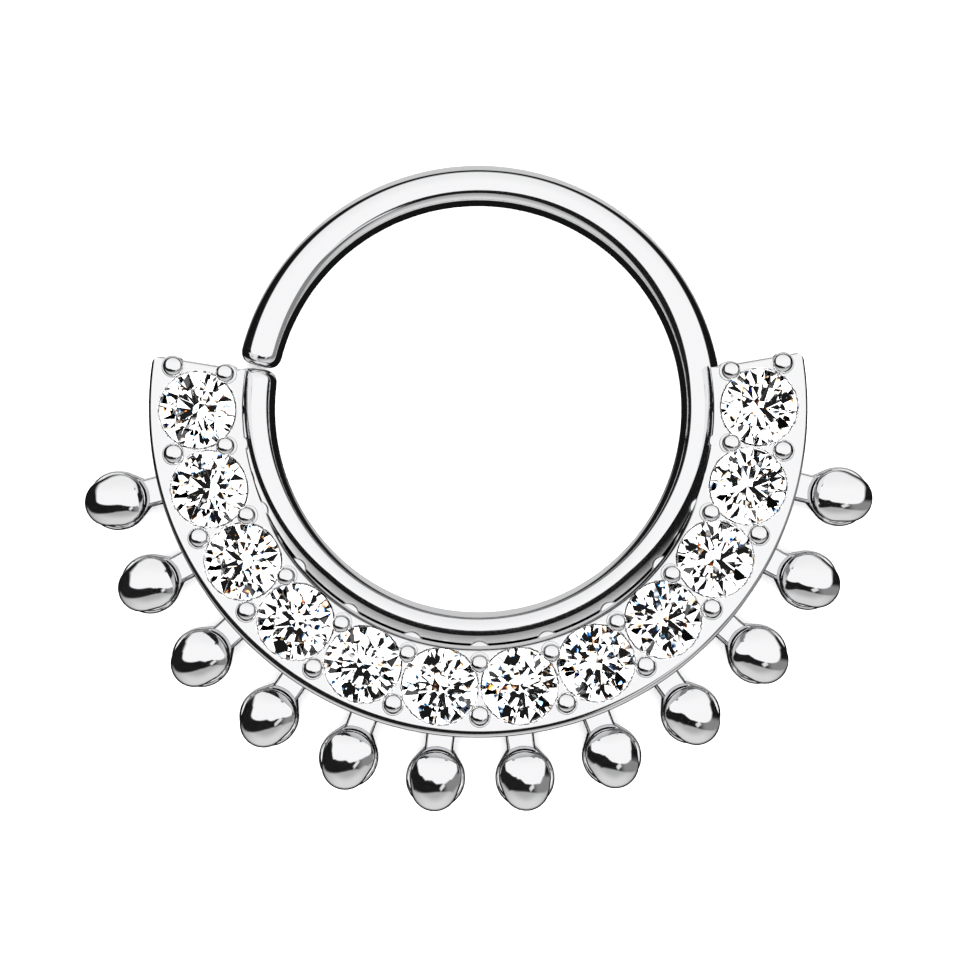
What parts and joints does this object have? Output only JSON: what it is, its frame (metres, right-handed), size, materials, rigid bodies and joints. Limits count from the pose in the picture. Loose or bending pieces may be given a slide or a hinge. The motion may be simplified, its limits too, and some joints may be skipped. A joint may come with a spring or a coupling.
{
  "type": "septum ring",
  "caption": "Cut steel hoop with a crescent of prong-set round clear stones and an outer fan of small domed drops, lying on its back.",
  "frame": {"origin": "middle of the whole ring's outline, on the plane of its back", "axes": "+Z out of the stones' tables, away from the surface it lies on; +X along the longest extent, to the right seen from the front; +Y from the lowest drops towards the top of the hoop"},
  "size_m": [0.0156, 0.0128, 0.0018],
  "materials": {
    "polished_steel": "mirror-polished steel",
    "clear_stone": "faceted and polished, clear"
  },
  "bodies": {
    "root": {"ring_frame": "polished_steel", "stone_01": "clear_stone", "stone_02": "clear_stone", "stone_03": "clear_stone", "stone_04": "clear_stone", "stone_05": "clear_stone", "stone_06": "clear_stone", "stone_07": "clear_stone", "stone_08": "clear_stone", "stone_09": "clear_stone", "stone_10": "clear_stone", "stone_11": "clear_stone", "stone_12": "clear_stone"}
  },
  "joints": []
}
